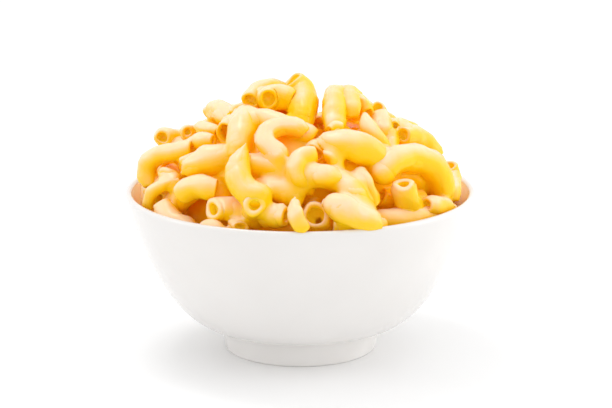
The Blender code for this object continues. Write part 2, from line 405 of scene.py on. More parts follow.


# %% [markdown]
# Each row below is one piece: its name, how wide its tube is, and its spots. The
# names follow where the pieces lie or what they look like, so that a piece is easy
# to find when it has to move. The rows start at the top, go down the right side,
# cross the middle to the left, and end along the rim at the front.

# %% Pieces laid one by one
HAND_LAID = [
    ("crown", 10.6, (-3, 37, 11), (-0.4, 33.6, 10), (0.8, 28.5, 16), (2.2, 19.5, 25)),
    ("crown_left", 7.6, (-17.2, 29.8, 17.5), (-15.3, 32, 14), (-11, 33.8, 11), (-6, 33.5, 8)),
    ("crown_cave", 8.6, (-10.5, 30.6, 19.5), (-10, 31, 15), (-6.5, 31, 13.5), (-2, 30, 14)),
    ("crown_bed", 8, (-21, 23, 21.5), (-12, 23.2, 27), (-4, 20.8, 31.5), (4.5, 16.5, 33.5)),
    ("back_right", 8.2, (15, 30.5, 7.5), (12, 31.6, 13.5), (11.5, 27, 23.5), (11, 18.5, 29.5)),
    ("back_limb", 6.4, (19.5, 30.5, 6), (17.4, 32, 8), (17.2, 28, 18.5), (17.6, 23.5, 20.5)),
    ("back_slope", 6, (18, 31, 8.5), (20.5, 29, 11), (23, 25.5, 15)),
    ("ring_high", 6.4, (26.5, 27.2, 12), (26.6, 26.4, 10), (27.5, 22.5, 13.5), (29, 17, 17.5)),
    ("slide_right", 5.6, (22.2, 25, 21.5), (23.7, 20.6, 28), (26.2, 17, 30), (29.8, 12, 30.5)),
    ("deep_right", 5.4, (31.5, 21.5, 11), (31.3, 17, 18.5), (31, 11, 25)),
    ("shoulder_top", 5.2, (32, 21.2, 16), (35.5, 21.4, 8.5), (39.5, 19, 3.5)),
    ("ring_shoulder", 7.4, (35.2, 18.1, 18), (37.8, 18, 10.5), (42, 15.6, 3.5), (47, 10, 0)),
    ("bump_back", 4.6, (10, 19.5, 34.5), (12.8, 20.8, 33), (15.6, 20.3, 31.5)),
    ("long_arch", 9.6, (5.5, 15.8, 35.5), (12.5, 15.6, 37.5), (20.5, 13.6, 37), (30, 7.5, 32)),
    (
        "big_arch", 9.4,
        (27.2, 1, 35), (30.2, 8.4, 33.5), (38.5, 10.5, 26.5), (45.8, 7, 20.5), (48.4, -4.5, 15),
    ),
    ("ring_far_right", 6.4, (51.2, 8, -0.5), (51.6, 6.4, -2.5), (51.9, 2.5, 1.5), (51.9, -4, 11.5)),
    ("short_end", 8.4, (35.1, 1.9, 40.5), (35.7, -0.8, 38.7), (37.2, -4.5, 35), (40, -9, 29)),
    ("ring_low_right", 6.6, (43.3, -5.8, 32), (46.2, -5.6, 27.5), (50.5, -7.5, 17.5)),
    ("rim_right", 7.4, (24, -10.6, 45), (33, -10.6, 43.5), (43, -9.8, 36.5), (52, -7.4, 24.5)),
    ("arch_floor", 7.5, (27, -3, 34), (34, -5, 28.5), (42, -3, 21)),
    ("pointed", 10.2, (16.6, 4.2, 45.5), (16.7, -1, 47.5), (19, -5.5, 48.5), (24, -12, 46)),
    ("pinched_tip", 6, (20.6, 7.8, 40.5), (20.8, 4.6, 42.5), (22.5, 0, 43), (26, -6, 41.5)),
    ("blunt", 8.4, (1.6, 4.2, 47), (6.5, 4.2, 47.5), (12, 2.8, 46), (18, 1, 40.5)),
    (
        "c_shape", 6.8,
        (5, 11.8, 40.5), (0.2, 9.8, 43.5), (-1.7, 5.8, 45.5), (0.2, 1.6, 45), (3.4, 0.4, 42.5),
    ),
    ("curl", 5.6, (7.6, 11.6, 40.5), (10.8, 10.8, 41), (12.2, 7.5, 41.5), (11, 2, 42)),
    ("mouth_right", 8.6, (4.6, 11.6, 42), (6.2, 12.8, 38.5), (10, 14, 34.5), (14, 14.5, 31)),
    (
        "s_curve", 7,
        (0.8, 18.8, 32.5), (-7.2, 21, 35), (-12.2, 18.2, 37.5), (-10.4, 14, 41), (-5.3, 8.8, 42.5),
    ),
    ("middle_roof", 8.2, (-20, 7.6, 37.5), (-13, 8, 40.5), (-8, 6.6, 42), (-4, 1.5, 41)),
    ("middle_low", 7.6, (-15, 0.5, 42), (-8.5, -0.6, 45.5), (-5, -1.8, 46), (0, -5, 44.5)),
    (
        "pinched", 8.8,
        (-18.1, 16, 42), (-21.2, 8, 43.5), (-20.4, 1.5, 47), (-16.5, -2, 49), (-10.6, -0.9, 47),
    ),
    ("flank", 9.6, (-40.6, 4.8, 27), (-36, 7.9, 31), (-29, 10, 33.5), (-20.5, 10.2, 31)),
    ("column", 9.4, (-18, 25, 17.5), (-19.4, 21.5, 25.5), (-20.8, 16, 31), (-21.5, 10, 33)),
    ("column_top", 5, (-23.5, 24.5, 18.5), (-21.8, 26.3, 17.5), (-18, 26, 18.5)),
    ("arch_left", 10, (-25.8, 18.6, 26.5), (-23.8, 19.4, 24), (-20.8, 20.5, 20.5), (-17, 21, 19.5)),
    ("ring_left_high", 7.6, (-31, 26.2, -1.5), (-28.8, 26.6, 3), (-25.5, 25, 13), (-22, 22, 19)),
    ("left_pale_a", 5.4, (-38.8, 19.2, 10), (-38.4, 19.2, 6), (-36, 18, 2)),
    ("left_pale_c", 5, (-35, 20.8, 11.5), (-32, 20.4, 16.5), (-28, 19, 19.5)),
    ("left_pale_b", 5, (-37, 15.5, 18.5), (-33.5, 16.4, 23.5), (-29.5, 16.5, 25)),
    ("ring_far_left", 7.6, (-47.2, 17.4, -3), (-46, 17.2, -7), (-42.5, 16, -11), (-37, 14, -13)),
    ("left_arch", 7.2, (-36.6, 13.6, 21), (-44.5, 12.4, 17), (-51.6, 9.2, 12), (-51.2, 0.5, 11)),
    ("left_stub", 3.6, (-41.4, 9, 26), (-38.8, 9.6, 28.5), (-34.5, 11.2, 28.5)),
    ("left_lens", 3.6, (-48.5, 5, 20), (-45.5, 4.8, 23), (-41, 2.8, 24)),
    ("left_low", 6, (-52, -1, 7), (-48, 1, 14.5), (-43, 1, 21.5)),
    ("loop_arch", 4.6, (-41, 2.2, 27), (-47, 1, 25.5), (-51.2, -2.2, 22.5), (-51.6, -7.5, 20)),
    ("loop_left", 8, (-47.4, -4.6, 29.5), (-46.6, -7.4, 30), (-42.6, -12, 34.5), (-36, -16.5, 40)),
    ("low_dome", 8.2, (-40.6, -5, 31.5), (-39.4, -1.4, 33.5), (-35.5, 0.5, 37), (-28.6, -0.4, 39.5)),
    ("ring_a", 8.2, (-30, -7.1, 45), (-28.2, -7.2, 43.5), (-24, -7.3, 43.5), (-18, -7.5, 43.5)),
    ("rim_left", 4.6, (-34.5, -13.8, 41), (-30, -13.6, 45), (-25.5, -15.5, 45.5)),
    ("small_arch", 6.4, (-20, -13.4, 49), (-21.2, -13.4, 46), (-23.5, -14.5, 42.5)),
    ("ring_b", 8.4, (-15.6, -6, 53.5), (-15.6, -6.5, 49.5), (-15.3, -8.2, 45.5), (-14.5, -12, 42.5)),
    ("ring_c", 8.4, (-4.4, -9.8, 53), (-6.4, -9.6, 51), (-9, -9.6, 48.5), (-12, -10.4, 44.5)),
    ("cup", 10.4, (5.2, -9.2, 53), (5.4, -10, 49), (6.6, -12, 45), (9.5, -15, 42)),
    ("cup_lip", 5.4, (-1, -2.4, 52.5), (-1.9, -5.8, 53.5), (-1.5, -9.5, 55), (1, -14.5, 54)),
    ("lap", 9.4, (7.6, -5.2, 51), (11.5, -5.8, 53), (17.5, -8.6, 52.5), (26, -12, 47.5)),
    ("rim_mid", 7.4, (11, -12.6, 52), (18, -13.4, 50.5), (28, -13.4, 44.5)),
]
JOINTS_ALONG = 13


def laid_line(spots):
    """The centre line of a listed piece."""
    return line_through(np.array([seat_point(*spot) for spot in spots]), JOINTS_ALONG)


hand_lines = np.array([laid_line(spots) for _, width, *spots in HAND_LAID])
hand_radii = np.array([width / 2 for _, width, *_ in HAND_LAID])
lengths = length_of(hand_lines)
print(f"{len(HAND_LAID)} pieces by hand, {lengths.min():.0f} to {lengths.max():.0f} mm long")

# %% [markdown]
# ## Making room, front to back
# The listed pieces run into each other. Each line is treated as a string of
# balls. Where balls of two pieces overlap, the front piece comes forward and the
# other goes back, but neither moves across or up, so the arrangement stays.

# %% Balls that touch
NO_WALL = 1000.0


def touching(points, radii, margin):
    """Pairs of balls of different pieces nearer than their radii and a margin."""
    count, joints, _ = points.shape
    flat = points.reshape(-1, 3)
    owner = np.repeat(np.arange(count), joints)
    size = np.repeat(radii, joints)
    squared = (flat**2).sum(axis=1)
    gap = squared[:, None] + squared[None] - 2 * flat @ flat.T
    reach = size[:, None] + size[None] + margin
    near = (gap < reach**2) & (owner[:, None] < owner[None])
    return np.nonzero(near)


def push_apart(points, radii, pairs, share_first, squeeze):
    """How far each ball has to move so that no two overlap by more than the squeeze."""
    flat = points.reshape(-1, 3)
    size = np.repeat(radii, points.shape[1])
    a, b = pairs
    apart = flat[a] - flat[b]
    distance = np.linalg.norm(apart, axis=1) + 1e-9
    overlap = np.clip(size[a] + size[b] - squeeze - distance, 0, None)
    push = apart / distance[:, None] * overlap[:, None]
    moves = np.zeros_like(flat)
    hits = np.zeros(len(flat))
    np.add.at(moves, a, push * share_first[:, None])
    np.add.at(moves, b, -push * (1 - share_first)[:, None])
    np.add.at(hits, a, overlap > 0)
    np.add.at(hits, b, overlap > 0)
    moves /= np.maximum(hits, 1)[:, None]
    return moves.reshape(points.shape)


def inner_radius(height):
    """The bowl's inside radius at a height; above the lip there is no wall."""
    wall = inner_wall()
    return np.where(height > RIM_HEIGHT, NO_WALL, np.interp(height, wall[:, 1], wall[:, 0]))


# %% Push apart along the line of sight
HAND_SQUEEZE = 1.8
HAND_ROUNDS = 30
MOST_FORWARD = 2.0
MOST_BACK = 9.0
TRY_STEP = 0.25
MOST_SHIFT = 1.6
MOST_TIP = 1.0


def room_ahead(lines, radii):
    """How far each ball may come towards the eye before it meets the bowl's wall."""
    shifts = np.arange(MOST_FORWARD, -MOST_BACK, -TRY_STEP)
    places = lines[:, :, None] + shifts[:, None] * toward_eye(lines)[:, :, None]
    away = np.hypot(places[..., 0], places[..., 1])
    most = np.minimum(inner_radius(places[..., 2]), RIM_RADIUS + 1) - radii[:, None, None]
    return shifts[np.argmax(away <= most, axis=2)]


def settle_in_depth(lines, radii):
    """Moves whole pieces, and tips them a little, along the line of sight only."""
    along = np.linspace(-1, 1, lines.shape[1])
    start = lines.copy()
    sight = toward_eye(start)
    room = room_ahead(start, radii)
    for _ in range(HAND_ROUNDS):
        pairs = touching(lines, radii, 0)
        halves = np.full(len(pairs[0]), 0.5)
        apart = lines + push_apart(lines, radii, pairs, halves, HAND_SQUEEZE)
        wish = ((apart - start) * sight).sum(axis=2)
        level = np.clip(wish.mean(axis=1), -MOST_SHIFT, MOST_SHIFT)
        tip = np.clip((wish * along).sum(axis=1) / (along**2).sum(), -MOST_TIP, MOST_TIP)
        shift = level[:, None] + tip[:, None] * along
        shift -= np.clip((shift - room).max(axis=1), 0, None)[:, None]
        lines = start + shift[..., None] * sight
    return lines


laid_lines = hand_lines
hand_lines = settle_in_depth(laid_lines, hand_radii)
moved = np.linalg.norm(hand_lines - laid_lines, axis=2).max()
print(f"pieces laid by hand moved up to {moved:.1f} mm nearer or farther")

# %% [markdown]
# ## The rest of the heap
# The other pieces fill the sides, the back and the layer underneath. They start
# evenly round the dome on a golden-angle spiral, each turned at random, and are
# then pushed out of each other as rigid pieces, kept inside the dome and drawn
# gently out to it, as if the bowl had been shaken down.

# %% Scatter
LAYERS = ((2.5, 80), (8.5, 72), (14.5, 50))
GOLDEN_ANGLE = math.pi * (3 - math.sqrt(5))
DOME_STEPS = 400
LOOSE_RADII = (3.7, 4.4)
LOOSE_BENDS = (7.5, 11.0)
LOOSE_LENGTHS = (20.0, 27.0)
LEAN = 0.5
ROLL = 0.35


def dome_line():
    """(radius, height) from the fill height to the peak, and the share of the skin below each."""
    angle = np.linspace(0, math.pi / 2, DOME_STEPS)
    out = DOME_RADIUS * np.cos(angle) ** (2 / ROUNDNESS)
    up = FILL_HEIGHT + DOME_RISE * np.sin(angle) ** (2 / ROUNDNESS)
    band = np.hypot(np.diff(out), np.diff(up)) * (out[1:] + out[:-1])
    swept = np.concatenate([[0], np.cumsum(band)])
    return out, up, swept / swept[-1]


dome_out, dome_up, dome_swept = dome_line()


def on_dome(share, bearing):
    """The spot on the dome with a share of its skin below it, at a bearing."""
    away = np.interp(share, dome_swept, dome_out)
    height = np.interp(share, dome_swept, dome_up)
    return np.array([away * math.cos(bearing), away * math.sin(bearing), height])


def loose_elbow():
    """A free elbow lying flat round its own middle, a little different each time."""
    bend = chance.uniform(*LOOSE_BENDS)
    length = chance.uniform(*LOOSE_LENGTHS)
    angle = np.linspace(-0.5, 0.5, JOINTS_ALONG) * length / bend
    line = np.stack([bend * np.sin(angle), bend * np.cos(angle), 0 * angle], axis=1)
    return line - line.mean(axis=0)


def rotation(angle, axis):
    """The matrix that turns by an angle round one of the three axes."""
    after, last = (axis + 1) % 3, (axis + 2) % 3
    matrix = np.eye(3)
    matrix[after, after] = matrix[last, last] = math.cos(angle)
    matrix[last, after] = math.sin(angle)
    matrix[after, last] = -math.sin(angle)
    return matrix


def turned_at_random(up):
    """A rotation that lays a piece's flat side roughly along the dome whose outward is up."""
    flat = Vector(up).to_track_quat("Z", "Y").to_matrix()
    heading = chance.uniform(0, 2 * math.pi)
    lean = chance.gauss(0, LEAN)
    roll = chance.gauss(0, ROLL)
    return np.array(flat) @ rotation(heading, 2) @ rotation(lean, 0) @ rotation(roll, 1)


def elbow_under(place, depth):
    """A loose elbow whose middle is so deep under a spot on the dome."""
    outward = dome_slope(place)
    return place - outward * depth + loose_elbow() @ turned_at_random(outward).T


def scatter():
    """Centre lines, radii and depths of the loose pieces, before they settle."""
    lines, radii, depths = [], [], []
    for depth, count in LAYERS:
        for index in range(count):
            place = on_dome((index + 0.5) / count, (len(lines) + 1) * GOLDEN_ANGLE)
            radius = chance.uniform(*LOOSE_RADII)
            lines.append(elbow_under(place, depth + radius))
            radii.append(radius)
            depths.append(depth)
    return np.array(lines), np.array(radii), np.array(depths)


# %% Leave out what lies on the listed pieces
CLEAR_OF_HAND = 7.5
TOP_LAYER = 5.0
CROWDED_ON_TOP = 0.12
CROWDED_BELOW = 0.75


def away_from_hand(lines, radii, depths):
    """The loose pieces that are mostly clear of the listed ones. The top layer has to be clearer."""
    spots = hand_lines.reshape(-1, 3)
    keep = []
    for line, depth in zip(lines, depths):
        nearest = np.linalg.norm(line[:, None] - spots[None], axis=2).min(axis=1)
        crowded = (nearest < CLEAR_OF_HAND).mean()
        keep.append(crowded < (CROWDED_ON_TOP if depth < TOP_LAYER else CROWDED_BELOW))
    keep = np.array(keep)
    return lines[keep], radii[keep]


loose_lines, loose_radii = away_from_hand(*scatter())
print(f"{len(loose_lines)} loose pieces before settling")


# %% [markdown]
# A loose piece keeps its bend while it settles. In each round every ball on its line
# asks for a small move: away from balls that it overlaps, back inside the bowl and
# the dome, and for most of the rounds a little outward. The rigid pose that comes
# closest to all its balls' wishes is where the piece goes.

# %% Settle
SETTLE_ROUNDS = 40
SQUEEZE = 0.8
PAIRS_EVERY = 4
PAIR_REACH = 1.5
OUTWARD_PULL = 0.12
PULL_FOR = 0.7
PROUD_BY_HAND = 2.5
OFF_THE_WALL = 0.2
MOST_IN = 2
MOST_OFF_WALL = 3


def fitted(shape, points):
    """The rigid pose of each shape that lies closest to the points."""
    middle = points.mean(axis=1, keepdims=True)
    centred = points - middle
    mix = np.einsum("nji,njk->nik", shape, centred)
    left, _, right = np.linalg.svd(mix)
    flip = np.sign(np.linalg.det(left @ right))
    left[:, :, -1] *= flip[:, None]
    return middle + shape @ (left @ right)


def kept_inside(points, radii):
    """Moves that bring balls back inside the dome and the bowl."""
    inset = (radii[:, None] + PROUD_BY_HAND) * np.ones(points.shape[1])
    slope = dome_slope(points)
    steep = 1.0 / DOME_RISE
    over = np.clip(beyond_dome(points + slope * inset[..., None]), 0, None) / steep / ROUNDNESS
    moves = -slope * np.clip(over, 0, MOST_IN)[..., None]
    away = np.hypot(points[..., 0], points[..., 1]) + 1e-9
    most = inner_radius(points[..., 2]) - radii[:, None] - OFF_THE_WALL
    back = np.clip(away - most, 0, MOST_OFF_WALL) / away
    moves[..., :2] -= points[..., :2] * back[..., None]
    return moves


def settle(lines, radii):
    """Shakes the loose pieces down among the fixed ones."""
    fixed = len(hand_lines)
    everyone = np.concatenate([hand_radii, radii])
    shape = lines - lines.mean(axis=1, keepdims=True)
    first_loose = fixed * lines.shape[1]
    for turn in range(SETTLE_ROUNDS):
        everything = np.concatenate([hand_lines, lines])
        if turn % PAIRS_EVERY == 0:
            first, second = touching(everything, everyone, PAIR_REACH)
            moving = second >= first_loose
            pairs = (first[moving], second[moving])
            share = np.where(pairs[0] < first_loose, 0.0, 0.5)
        moves = push_apart(everything, everyone, pairs, share, SQUEEZE)[fixed:]
        if turn < SETTLE_ROUNDS * PULL_FOR:
            moves += dome_slope(lines) * OUTWARD_PULL
        moves += kept_inside(lines, radii)
        lines = fitted(shape, lines + moves)
    return lines


settled = settle(loose_lines, loose_radii)
moved = np.linalg.norm(settled - loose_lines, axis=2).max(axis=1)
print(f"loose pieces moved {np.median(moved):.1f} mm as a rule, {moved.max():.1f} mm at most")
loose_lines = settled

# %% [markdown]
# ## Leaving the front as it was laid
# Some loose pieces have rolled in front of the listed ones, fill the deep gaps
# between them, or stick up behind them. To find these, the listed pieces are
# drawn into a small grid that holds how near each spot is to the seat. A piece in
# the way is pressed deeper into the heap a little at a time, and taken off if
# that does not help.

# %% What is seen of the listed pieces
CELL = 0.5
VIEW_ACROSS = 64.0
VIEW_LOW = -24.0
VIEW_HIGH = 48.0
EMPTY = -999.0


def seen_cells(ball, radius):
    """The cells of the view that a ball covers, and how near its surface is in each."""
    across, up, near = as_seen(ball)
    left, right = (across - radius + VIEW_ACROSS) / CELL, (across + radius + VIEW_ACROSS) / CELL
    bottom, top = (up - radius - VIEW_LOW) / CELL, (up + radius - VIEW_LOW) / CELL
    column, row = np.meshgrid(np.arange(math.ceil(left), right), np.arange(math.ceil(bottom), top))
    column, row = column.astype(int), row.astype(int)
    aside = (column * CELL - VIEW_ACROSS - across) ** 2 + (row * CELL + VIEW_LOW - up) ** 2
    inside = aside < radius**2
    return column[inside], row[inside], near + np.sqrt(radius**2 - aside[inside])


def view_of(lines, radii):
    """How near the nearest surface is in each cell, and EMPTY where there is none."""
    size = (int(2 * VIEW_ACROSS / CELL), int((VIEW_HIGH - VIEW_LOW) / CELL))
    view = np.full(size, EMPTY)
    for line, radius in zip(lines, radii):
        for ball in line:
            column, row, near = seen_cells(ball, radius)
            view[column, row] = np.maximum(view[column, row], near)
    return view


GAP_REACH = 5.0
GAP_DEPTH = 7.0


def bridged(view):
    """The view with its gaps filled by the nearest surface within GAP_REACH."""
    for _ in range(round(GAP_REACH / CELL)):
        for axis in (0, 1):
            sides = np.maximum(np.roll(view, 1, axis=axis), np.roll(view, -1, axis=axis))
            view = np.maximum(view, sides)
    return view


# For each cell: how near the listed pieces are, whether one is there, whether
# the cell lies under their outline, and how near a loose piece in a gap may come.
front = view_of(hand_lines, hand_radii)
covered = front > EMPTY
below_top = np.cumsum(covered[:, ::-1], axis=1)[:, ::-1] > 0
gap_floor = bridged(front) - GAP_DEPTH
print(f"pieces laid by hand cover {covered.sum() * CELL**2 / 100:.0f} cm2 of the view")

# %% Press in or take off what is in the way
IN_FRONT = 0.3
MOST_HIDDEN = 14


def in_the_way(lines, radii):
    """For each loose piece, whether it hides the listed pieces, fills a gap or stands out above."""
    verdicts = []
    for line, radius in zip(lines, radii):
        spoilt = np.zeros(front.shape, bool)
        for ball in line:
            column, row, near = seen_cells(ball, radius)
            hides = near > front[column, row] + IN_FRONT
            hides &= covered[column, row] | ~below_top[column, row]
            hides |= ~covered[column, row] & below_top[column, row] & (near > gap_floor[column, row])
            spoilt[column[hides], row[hides]] = True
        verdicts.append(spoilt.sum() > MOST_HIDDEN)
    return np.array(verdicts)


PRESS_STEP = 1.5
PRESS_ROUNDS = 8
WALL_GAP = 0.4


def pressed(lines, radii):
    """The same pieces a step deeper in the heap, and still clear of the bowl's wall."""
    middle = lines.mean(axis=1)
    way = dome_slope(middle) + np.array([0.0, 0.0, 1.0])
    lines = lines - (way / np.linalg.norm(way, axis=1, keepdims=True))[:, None] * PRESS_STEP
    away = np.hypot(lines[..., 0], lines[..., 1])
    most = inner_radius(lines[..., 2]) - np.asarray(radii)[:, None] - WALL_GAP
    over = np.clip(away - most, 0, None).max(axis=1)
    inward = -middle[:, :2] / (np.hypot(middle[:, 0], middle[:, 1])[:, None] + 1e-9)
    lines[..., :2] += (inward * over[:, None])[:, None]
    return lines


for _ in range(PRESS_ROUNDS):
    proud = in_the_way(loose_lines, loose_radii)
    loose_lines[proud] = pressed(loose_lines[proud], loose_radii[proud])
stay = ~in_the_way(loose_lines, loose_radii)
loose_lines, loose_radii = loose_lines[stay], loose_radii[stay]
print(f"{(~stay).sum()} loose pieces taken off, {stay.sum()} stay")

# %% [markdown]
# Where pieces were taken off, the sauce underneath would lie bare. New ones are
# tried at random over the dome's back. Each is pressed in until it is not in the
# way, and stays if it has room there: pieces deeper than itself don't count.

# %% Fill the bare places
TRIES = 900
FILL_RADII = (3.7, 4.3)
ROOM = 5.8
FILL_PRESSES = 11
FILL_DEPTH = 2.0
UNDERNEATH = 3.0


def depth_in_heap(points):
    """How far points are below the outline of the heap."""
    return -beyond_dome(points) * DOME_RISE / ROUNDNESS


def is_clear(line, radius):
    """Whether one piece is out of the way of the listed pieces."""
    return not in_the_way(line[None], [radius])[0]


def pressed_clear(line, radius):
    """The piece pressed in a step at a time, until it is clear or the steps run out."""
    for _ in range(FILL_PRESSES):
        if is_clear(line, radius):
            break
        line = pressed(line[None], [radius])[0]
    return line


def has_room(line, others):
    """Whether no other piece at this depth, or less deep, is nearer than ROOM."""
    spots = others.reshape(-1, 3)
    spots = spots[depth_in_heap(spots) < depth_in_heap(line).mean() + UNDERNEATH]
    nearest = np.linalg.norm(line[:, None] - spots[None], axis=2).min(axis=1)
    return (nearest > ROOM).all()


before = len(loose_lines)
for _ in range(TRIES):
    place = on_dome(chance.random(), chance.uniform(0, math.pi))
    radius = chance.uniform(*FILL_RADII)
    line = pressed_clear(elbow_under(place, FILL_DEPTH + radius), radius)
    if has_room(line, np.concatenate([hand_lines, loose_lines])) and is_clear(line, radius):
        loose_lines = np.concatenate([loose_lines, line[None]])
        loose_radii = np.append(loose_radii, radius)
all_lines = np.concatenate([hand_lines, loose_lines])
all_radii = np.concatenate([hand_radii, loose_radii])
print(f"{len(loose_lines) - before} pieces fill bare places, {len(all_lines)} in all")

# %% [markdown]
# ## One macaroni
# An elbow macaroni is a thick-walled tube, cut straight at both ends and bent as
# it comes out of the press. Boiling swells it: the cut edges turn round, the tube
# goes a little oval and its skin uneven. The skin here is one closed grid of
# points: along the outside, over one rim, back through the bore and over the
# other rim.

# %% Rings of one macaroni
AROUND = 20
OUTSIDE_STEPS = 17
BORE_STEPS = 9
RIM_STEPS = 5


def skin_stations():
    """(share along the tube, share through the wall, which end) for each ring of points."""
    stations = [(share, 1.0, 0) for share in np.linspace(0, 1, OUTSIDE_STEPS)]
    turn = np.linspace(0, math.pi, RIM_STEPS + 2)[1:-1]
    stations += [(1.0, math.cos(angle), math.sin(angle)) for angle in turn]
    stations += [(share, -1.0, 0) for share in np.linspace(1, 0, BORE_STEPS)]
    stations += [(0.0, -math.cos(angle), -math.sin(angle)) for angle in turn]
    return np.array(stations)


STATIONS = skin_stations()
print(f"{len(STATIONS)} rings of {AROUND} points for each macaroni")


def smooth_line(line, shares):
    """The centre line read at any shares of its length, with its directions."""
    known = np.linspace(0, 1, len(line))
    fine = np.stack([np.interp(shares, known, line[:, axis]) for axis in range(3)], axis=1)
    slopes = np.gradient(line, axis=0)
    ahead = np.stack([np.interp(shares, known, slopes[:, axis]) for axis in range(3)], axis=1)
    return fine, ahead / np.linalg.norm(ahead, axis=1, keepdims=True)


ALMOST_NONE = 1e-3
ANY_WAY = (0.3, 0.5, 0.8)


def tube_frame(line, ahead):
    """The ways out of the bend and to its side, square to the tube at each ring."""
    half_way = line[len(line) // 2]
    plane = np.cross(line[0] - half_way, line[-1] - half_way)
    if np.linalg.norm(plane) < ALMOST_NONE:
        plane = np.cross(ahead[0], ANY_WAY)
    side = plane / np.linalg.norm(plane)
    outward = np.cross(side, ahead)
    outward /= np.linalg.norm(outward, axis=1, keepdims=True)
    return outward, np.cross(ahead, outward)


# %% [markdown]
# A form is the list of what makes one piece different from a perfect tube: a belly
# in the middle, tapered or rounded ends, a flattened place, how wide its bore is,
# and an uneven outline. The helpers below work these out.

# %% How a piece differs from a perfect tube
LUMP_MM = 0.13
LUMP_WIDTHS = (5.3, 7.9, 11.0)
DIAGONAL = 1.7
TAPER_REACH = 0.45
TAPER_CURVE = 1.5
CLOSES = 0.999
SQUARER = 0.8
BROADER = 0.5


def lumps(points, phase):
    """Small uneven shifts, LUMP_MM high, like those of a film of sauce that has set."""
    shift = np.zeros_like(points)
    for across, width in enumerate(LUMP_WIDTHS):
        turned = np.roll(points, across + 1, axis=-1)
        shift += np.sin(turned * 2 * math.pi / width + phase * (across + 1)) * LUMP_MM
        shift += np.sin((points + turned) * 2 * math.pi / (DIAGONAL * width) - phase) * LUMP_MM
    return shift


def width_along(shares, ends_mm, form):
    """How wide a piece is at shares of its length, as a share of its usual width."""
    belly = 1 + form["belly"] * np.sin(math.pi * shares)
    taper = 1 - form["taper_first"] * np.clip(1 - shares / TAPER_REACH, 0, 1) ** TAPER_CURVE
    taper *= 1 - form["taper_last"] * np.clip(1 - (1 - shares) / TAPER_REACH, 0, 1) ** TAPER_CURVE
    for end, along in (("round_first", shares), ("round_last", 1 - shares)):
        near_end = np.clip(1 - along * ends_mm, 0, 1)
        taper *= 1 - form[end] * (1 - np.sqrt(1 - CLOSES * near_end**2))
    return belly * taper


def uneven_width(angle, form):
    """How the width swells and shrinks round the tube and along it."""
    along = STATIONS[:, :1]
    width = 1 + form["lump"] * np.sin(angle[None] * 2 + form["phase"] + 5 * along)
    width += form["lump"] * 0.6 * np.sin(angle[None] * 3 + 2.1 * form["phase"] - 9 * along)
    return width


def squarer(values):
    """Values from -1 to 1 moved outward, so that a round edge is a little squarer."""
    return np.sign(values) * np.abs(values) ** SQUARER


# %% Skin of one macaroni
RIM_ROUNDING = 1.2


def macaroni_skin(line, radius, form):
    """The points of one macaroni round its centre line, as rings of AROUND points."""
    along, through, end = STATIONS.T
    length = length_of(line)
    rounding = RIM_ROUNDING / length
    middle, ahead = smooth_line(line, rounding + along * (1 - 2 * rounding))
    cap = squarer(end) * RIM_ROUNDING
    cap *= 1 - np.where(end < 0, form["round_first"], form["round_last"])
    middle = middle + ahead * cap[:, None]
    outward, side = tube_frame(line, ahead)
    wall = (1 + form["bore"]) / 2 + (1 - form["bore"]) / 2 * squarer(through)
    reach = radius * wall * width_along(along, length / radius, form)
    angle = 2 * math.pi * np.arange(AROUND) / AROUND
    uneven = uneven_width(angle, form)
    flat = form["flat"] * (0.5 + 0.5 * np.cos(2 * math.pi * (along - form["flat_at"])))
    tall = (1 - flat)[:, None] * np.cos(angle) * reach[:, None] * uneven
    broad = (1 + BROADER * flat)[:, None] * np.sin(angle) * reach[:, None] * uneven
    rings = middle[:, None] + tall[..., None] * outward[:, None] + broad[..., None] * side[:, None]
    return (rings + lumps(rings, form["phase"])).reshape(-1, 3)


# %% [markdown]
# Most pieces get a form by chance. Listed pieces that show something of their
# own, such as a wide open end or a tip squeezed flat, have it set here by name.
# "open" is how deep the sauce leaves a bore. The coat is how much more or less
# sauce than usual lies on a piece; on some pieces it is set to paint shade and
# light as well, higher for a deeper yellow and lower for a paler one.

# %% Forms
BORE_DEPTH = 1.6
CUT_EDGE = 0.12


def random_form():
    """How one piece differs from a perfect tube."""
    return {
        "belly": chance.uniform(-0.02, 0.08),
        "taper_first": chance.uniform(0, 0.08),
        "taper_last": chance.uniform(0, 0.08),
        "lump": chance.uniform(0.01, 0.035),
        "phase": chance.uniform(0, 6.3),
        "flat": chance.choice((0.04, 0.08, 0.14, 0.25)),
        "flat_at": chance.uniform(0.2, 0.8),
        "bore": chance.uniform(0.38, 0.5),
        "round_first": CUT_EDGE,
        "round_last": CUT_EDGE,
        "open": BORE_DEPTH,
        "coat_and_shade": chance.uniform(-0.05, 0.05),
    }
